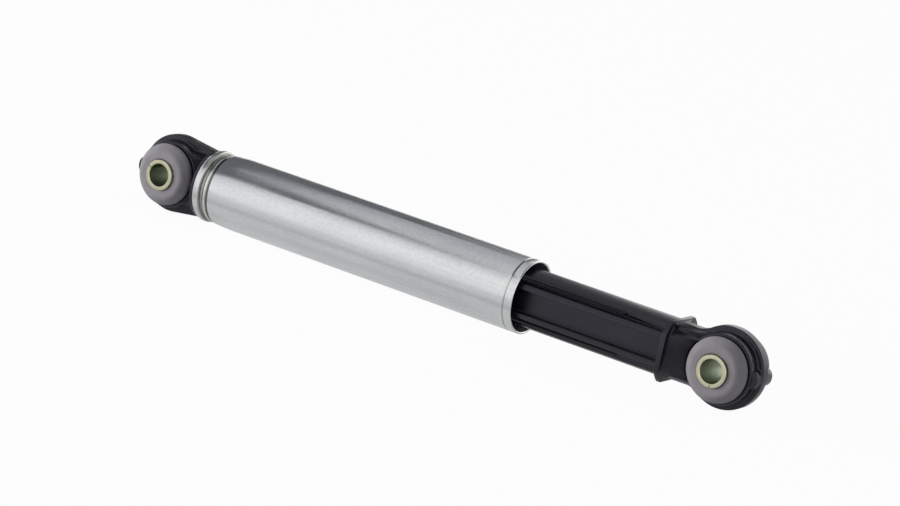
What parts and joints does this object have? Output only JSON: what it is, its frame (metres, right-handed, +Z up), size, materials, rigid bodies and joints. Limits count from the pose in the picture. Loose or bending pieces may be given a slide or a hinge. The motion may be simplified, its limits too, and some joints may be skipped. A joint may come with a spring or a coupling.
{
  "type": "washing machine shock absorber",
  "caption": "Telescopic friction damper: a steel tube with a moulded eye, and a ribbed plastic plunger that slides in it, with a rubber bush and steel sleeve in each eye.",
  "frame": {"origin": "centre of the steel sleeve's bore in the tube's eye, half way along the sleeve", "axes": "+X along the damper from the tube's eye to the plunger's eye, +Y along both pins' bores, +Z up"},
  "size_m": [0.2552, 0.026, 0.028],
  "materials": {
    "zinc_plated_steel": "satin",
    "black_polyamide": "satin",
    "grey_rubber": "matte",
    "yellow_zinc_steel": "satin",
    "greased_foam": "matte"
  },
  "bodies": {
    "tube_body": {"tube": "zinc_plated_steel", "tube_eye": "black_polyamide", "tube_eye_bush": "grey_rubber"},
    "lining_body": {"friction_lining": "greased_foam"},
    "plunger_body": {"plunger": "black_polyamide", "piston_end_cap": "black_polyamide", "plunger_eye_bush": "grey_rubber"},
    "tube_sleeve_body": {"tube_eye_sleeve": "yellow_zinc_steel"},
    "plunger_sleeve_body": {"plunger_eye_sleeve": "yellow_zinc_steel"}
  },
  "joints": [
    {"name": "plunger_slide", "type": "slide", "parent": "tube_body", "child": "lining_body", "axis": [1, 0, 0], "range_m": [-0.0553, 0.0325]},
    {"name": "plunger_turn", "type": "hinge", "parent": "lining_body", "child": "plunger_body", "pos_m": [0.1, 0, 0], "axis": [1, 0, 0], "continuous": true},
    {"name": "tube_sleeve_turn", "type": "hinge", "parent": "tube_body", "child": "tube_sleeve_body", "pos_m": [0, 0, 0], "axis": [0, 1, 0], "continuous": true},
    {"name": "plunger_sleeve_turn", "type": "hinge", "parent": "plunger_body", "child": "plunger_sleeve_body", "pos_m": [0.22725, 0, 0], "axis": [0, 1, 0], "continuous": true}
  ]
}
